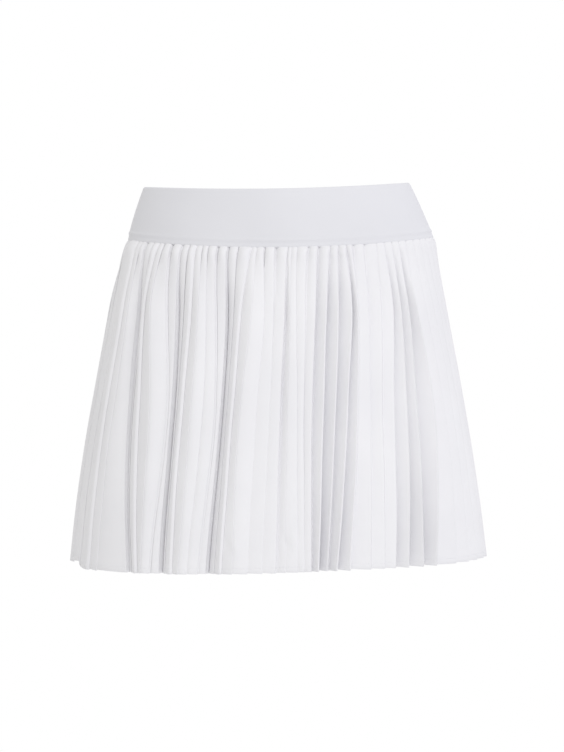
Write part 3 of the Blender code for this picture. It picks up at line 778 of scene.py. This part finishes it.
def stitch_row(name, line, outward):
    """Stitches along a line of points, each lying on the side that outward points to."""
    steps = np.linalg.norm(np.diff(line, axis=0), axis=1)
    far = np.concatenate([[0.0], np.cumsum(steps)])
    centres = np.arange(0.5 * STITCH_PITCH, far[-1], STITCH_PITCH)
    turns = np.arange(STITCH_SIDES) * 2.0 * math.pi / STITCH_SIDES
    points = []
    faces = []
    for centre in centres:
        here = np.array([np.interp(centre, far, line[:, axis]) for axis in range(3)])
        ahead = np.array([np.interp(centre + LOOK_AHEAD, far, line[:, axis]) for axis in range(3)])
        away = np.array([np.interp(centre, far, outward[:, axis]) for axis in range(3)])
        along = ahead - here
        along /= np.linalg.norm(along) + 1e-12
        away -= along * np.dot(away, along)
        away /= np.linalg.norm(away) + 1e-12
        side = np.cross(along, away)
        first = len(points)
        for place, girth in STITCH_PROFILE:
            middle = here + along * place * STITCH_LENGTH + away * THREAD_RADIUS * (2.0 * girth - 1.1)
            for turn in turns:
                reach = side * math.cos(turn) + away * math.sin(turn)
                points.append(middle + reach * THREAD_RADIUS * girth)
        for ring in range(len(STITCH_PROFILE) - 1):
            for corner in range(STITCH_SIDES):
                following = (corner + 1) % STITCH_SIDES
                here_ring = first + ring * STITCH_SIDES
                next_ring = here_ring + STITCH_SIDES
                faces.append(
                    (here_ring + corner, here_ring + following, next_ring + following, next_ring + corner)
                )
        faces.append(tuple(first + corner for corner in reversed(range(STITCH_SIDES))))
        faces.append(tuple(len(points) - STITCH_SIDES + corner for corner in range(STITCH_SIDES)))
    mesh = bpy.data.meshes.new(name)
    mesh.from_pydata([tuple(point) for point in points], [], faces)
    mesh.shade_smooth()
    made = bpy.data.objects.new(name, mesh)
    bpy.context.scene.collection.objects.link(made)
    print(name, len(centres), "stitches")
    return made


def hem_stitches(name, panel):
    """A stitched row a few millimetres above the hem, on the outside of the cloth."""
    share = HEM_STITCH_HEIGHT / (below[-1] - below[-2])
    row = len(below) - int(share)
    line = mix(panel.points[:, row], panel.points[:, row - 1], share - int(share))
    along = np.gradient(line, axis=0)
    away = np.stack([along[:, 1], -along[:, 0], np.zeros(len(along))], axis=1)
    away /= np.linalg.norm(away, axis=1)[:, None] + 1e-12
    return stitch_row(name, line, away)


stitches_front = hem_stitches("hem_stitches_front", front_panel)
stitches_back = hem_stitches("hem_stitches_back", back_panel)

# %% [markdown]
# ## Cloth materials
# Both cloths are white, but not the same white. The pleated cloth is a thin plain weave of smooth
# polyester thread: a fine basket pattern, a soft sheen, and a little cool colour. The weave follows
# the flat cloth's own measures, so it turns with every fold. The band is a dense knit: a fine upright
# grain and a smoother, slightly duller face. All get a faint, slow change in tone, because no white
# cloth is one flat colour. Sizes are in metres, and a noise's scale is how often it repeats in one.

# %% Node helpers
def new_material(name):
    material = bpy.data.materials.new(name)
    material.use_nodes = True
    return material, material.node_tree, material.node_tree.nodes["Principled BSDF"]


def add_node(tree, kind, **settings):
    node = tree.nodes.new(kind)
    for setting, value in settings.items():
        setattr(node, setting, value)
    return node


def math_node(tree, operation, first, second):
    node = add_node(tree, "ShaderNodeMath", operation=operation)
    for socket, value in zip(node.inputs, (first, second)):
        if isinstance(value, (int, float)):
            socket.default_value = value
        else:
            tree.links.new(value, socket)
    return node.outputs[0]


def tone(tree, light, dark, scale):
    """A slow drift between two near whites, in the object's own space."""
    place = add_node(tree, "ShaderNodeTexCoord")
    noise = add_node(tree, "ShaderNodeTexNoise")
    noise.inputs["Scale"].default_value = scale
    noise.inputs["Detail"].default_value = 3.0
    ramp = add_node(tree, "ShaderNodeValToRGB")
    ramp.color_ramp.elements[0].position = 0.35
    ramp.color_ramp.elements[1].position = 0.65
    ramp.color_ramp.elements[0].color = dark
    ramp.color_ramp.elements[1].color = light
    tree.links.new(place.outputs["Object"], noise.inputs["Vector"])
    tree.links.new(noise.outputs["Fac"], ramp.inputs["Fac"])
    return ramp.outputs["Color"]


def thread_wave(tree, along, pitch):
    """Rounded threads side by side: one hump for every pitch."""
    turned = math_node(tree, "MULTIPLY", along, math.pi / pitch)
    return math_node(tree, "ABSOLUTE", math_node(tree, "SINE", turned, 0.0), 0.0)


# %% Pleated cloth
PLEATED_LIGHT = (0.872, 0.868, 0.884, 1.0)
PLEATED_DARK = (0.842, 0.838, 0.857, 1.0)
WARP_PITCH = 0.00032
WEFT_PITCH = 0.00036
WEAVE_DEPTH = 0.00005


def pleated_material():
    material, tree, shader = new_material("pleated_polyester")
    cloth = add_node(tree, "ShaderNodeUVMap", uv_map="cloth")
    split = add_node(tree, "ShaderNodeSeparateXYZ")
    tree.links.new(cloth.outputs["UV"], split.inputs["Vector"])
    warp = thread_wave(tree, split.outputs["X"], WARP_PITCH)
    weft = thread_wave(tree, split.outputs["Y"], WEFT_PITCH)
    weave = math_node(tree, "MULTIPLY", warp, weft)
    bump = add_node(tree, "ShaderNodeBump")
    bump.inputs["Strength"].default_value = 0.25
    bump.inputs["Distance"].default_value = WEAVE_DEPTH
    tree.links.new(weave, bump.inputs["Height"])
    tree.links.new(bump.outputs["Normal"], shader.inputs["Normal"])
    colour = tone(tree, PLEATED_LIGHT, PLEATED_DARK, 14.0)
    tree.links.new(colour, shader.inputs["Base Color"])
    shader.inputs["Roughness"].default_value = 0.55
    shader.inputs["Specular IOR Level"].default_value = 0.35
    shader.inputs["Sheen Weight"].default_value = 0.12
    shader.inputs["Sheen Roughness"].default_value = 0.4
    return material


# %% Waistband knit
KNIT_LIGHT = (0.775, 0.775, 0.805, 1.0)
KNIT_DARK = (0.75, 0.75, 0.78, 1.0)
KNIT_GRAIN = 1400.0
KNIT_DEPTH = 0.00008


def band_material():
    material, tree, shader = new_material("waistband_knit")
    place = add_node(tree, "ShaderNodeTexCoord")
    noise = add_node(tree, "ShaderNodeTexNoise")
    noise.inputs["Scale"].default_value = KNIT_GRAIN
    noise.inputs["Detail"].default_value = 2.0
    stretch = add_node(tree, "ShaderNodeMapping")
    stretch.inputs["Scale"].default_value = (1.0, 1.0, 0.35)
    bump = add_node(tree, "ShaderNodeBump")
    bump.inputs["Strength"].default_value = 0.2
    bump.inputs["Distance"].default_value = KNIT_DEPTH
    tree.links.new(place.outputs["Object"], stretch.inputs["Vector"])
    tree.links.new(stretch.outputs["Vector"], noise.inputs["Vector"])
    tree.links.new(noise.outputs["Fac"], bump.inputs["Height"])
    tree.links.new(bump.outputs["Normal"], shader.inputs["Normal"])
    colour = tone(tree, KNIT_LIGHT, KNIT_DARK, 9.0)
    tree.links.new(colour, shader.inputs["Base Color"])
    shader.inputs["Roughness"].default_value = 0.6
    shader.inputs["Specular IOR Level"].default_value = 0.3
    shader.inputs["Sheen Weight"].default_value = 0.1
    return material


# %% Thread
THREAD_LIGHT = (0.88, 0.88, 0.90, 1.0)
THREAD_DARK = (0.83, 0.83, 0.86, 1.0)


def thread_material():
    material, tree, shader = new_material("white_thread")
    colour = tone(tree, THREAD_LIGHT, THREAD_DARK, 300.0)
    tree.links.new(colour, shader.inputs["Base Color"])
    shader.inputs["Roughness"].default_value = 0.45
    return material


pleated = pleated_material()
knit = band_material()
thread = thread_material()
for piece, finish in (
    (skirt_front, pleated),
    (skirt_back, pleated),
    (band_front, knit),
    (band_back, knit),
    (stitches_front, thread),
    (stitches_back, thread),
):
    piece.data.materials.append(finish)
    print(piece.name, "is finished in", finish.name)

# %% [markdown]
# ## Put each piece on the body
# Every visible piece rides on the one body of the solid model, and the two panels and the two
# halves of the band hide the plain solids they stand for.

for piece, node, slot_name in (
    (skirt_front, "skirt_front", "pleated_cloth"),
    (skirt_back, "skirt_back", "pleated_cloth"),
    (band_front, "waistband_front", "waistband"),
    (band_back, "waistband_back", "waistband"),
):
    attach(piece, "root")
    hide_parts(node)
for piece in (stitches_front, stitches_back):
    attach(piece, "root")

# %% [markdown]
# ## Studio
# White clothes are lit softly, or their folds burn out. Here a pale dome gives most of the light,
# with less of it from the left, and one large panel lamp at the front right gives the folds their
# form: faces turned to it go bright, and the walls of the valleys keep a soft grey. The dome is a
# little cool on the right and warm on the left, as daylight and a lit room are. The floor is a plain
# pale disc far below, as the skirt hangs at waist height.

# %% Light and floor
FLOOR_HEIGHT = -1.05
FLOOR_RADIUS = 2.6
FLOOR_CORNERS = 96
KEY_PLACE = (0.85, -2.4, 1.7)
KEY_AIM = (0.0, 0.0, -0.15)
KEY_SIZE = 1.7
KEY_WATTS = 18.0
DOME_STRENGTH = 0.93
DOME_LEFT = (0.725, 0.72, 0.70, 1.0)
DOME_AHEAD = (0.94, 0.94, 0.95, 1.0)
DOME_RIGHT = (0.945, 0.945, 0.985, 1.0)


def add_floor():
    mesh = bpy.data.meshes.new("floor")
    turns = [2.0 * math.pi * corner / FLOOR_CORNERS for corner in range(FLOOR_CORNERS)]
    rim = [(FLOOR_RADIUS * math.cos(turn), FLOOR_RADIUS * math.sin(turn), FLOOR_HEIGHT) for turn in turns]
    mesh.from_pydata(rim, [], [tuple(range(FLOOR_CORNERS))])
    floor = bpy.data.objects.new("floor", mesh)
    bpy.context.scene.collection.objects.link(floor)
    material, _, shader = new_material("pale_floor")
    shader.inputs["Base Color"].default_value = (0.93, 0.93, 0.93, 1.0)
    shader.inputs["Roughness"].default_value = 0.9
    mesh.materials.append(material)


def add_lamp(name, place, size, watts):
    """A square panel lamp, turned to the skirt's middle by a constraint."""
    lamp = bpy.data.objects.new(name, bpy.data.lights.new(name, "AREA"))
    lamp.data.shape = "SQUARE"
    lamp.data.size = size
    lamp.data.energy = watts
    lamp.location = place
    aim = bpy.data.objects.new(name + "_aim", None)
    aim.location = KEY_AIM
    bpy.context.scene.collection.objects.link(aim)
    track = lamp.constraints.new("TRACK_TO")
    track.target = aim
    track.track_axis = "TRACK_NEGATIVE_Z"
    track.up_axis = "UP_Y"
    bpy.context.scene.collection.objects.link(lamp)


def light_world():
    """A dome that is white to look at, and gives less and warmer light from the left."""
    world = bpy.data.worlds.new("studio")
    world.use_nodes = True
    tree = world.node_tree
    tree.nodes.clear()
    output = add_node(tree, "ShaderNodeOutputWorld")
    seen = add_node(tree, "ShaderNodeBackground")
    seen.inputs["Color"].default_value = (1.0, 1.0, 1.0, 1.0)
    seen.inputs["Strength"].default_value = 1.0
    given = add_node(tree, "ShaderNodeBackground")
    given.inputs["Strength"].default_value = DOME_STRENGTH
    place = add_node(tree, "ShaderNodeTexCoord")
    split = add_node(tree, "ShaderNodeSeparateXYZ")
    ramp = add_node(tree, "ShaderNodeValToRGB")
    ramp.color_ramp.elements[0].position = 0.0
    ramp.color_ramp.elements[0].color = DOME_LEFT
    ramp.color_ramp.elements[1].position = 1.0
    ramp.color_ramp.elements[1].color = DOME_RIGHT
    ahead = ramp.color_ramp.elements.new(0.5)
    ahead.color = DOME_AHEAD
    shifted = math_node(tree, "MULTIPLY_ADD", split.outputs["X"], 0.5)
    shifted.node.inputs[2].default_value = 0.5
    rays = add_node(tree, "ShaderNodeLightPath")
    both = add_node(tree, "ShaderNodeMixShader")
    tree.links.new(place.outputs["Generated"], split.inputs["Vector"])
    tree.links.new(shifted, ramp.inputs["Fac"])
    tree.links.new(ramp.outputs["Color"], given.inputs["Color"])
    tree.links.new(rays.outputs["Is Camera Ray"], both.inputs["Fac"])
    tree.links.new(given.outputs["Background"], both.inputs[1])
    tree.links.new(seen.outputs["Background"], both.inputs[2])
    tree.links.new(both.outputs["Shader"], output.inputs["Surface"])
    bpy.context.scene.world = world


add_floor()
add_lamp("key_lamp", KEY_PLACE, KEY_SIZE, KEY_WATTS)
light_world()
bpy.context.scene.view_settings.view_transform = "Standard"
print("studio is set")
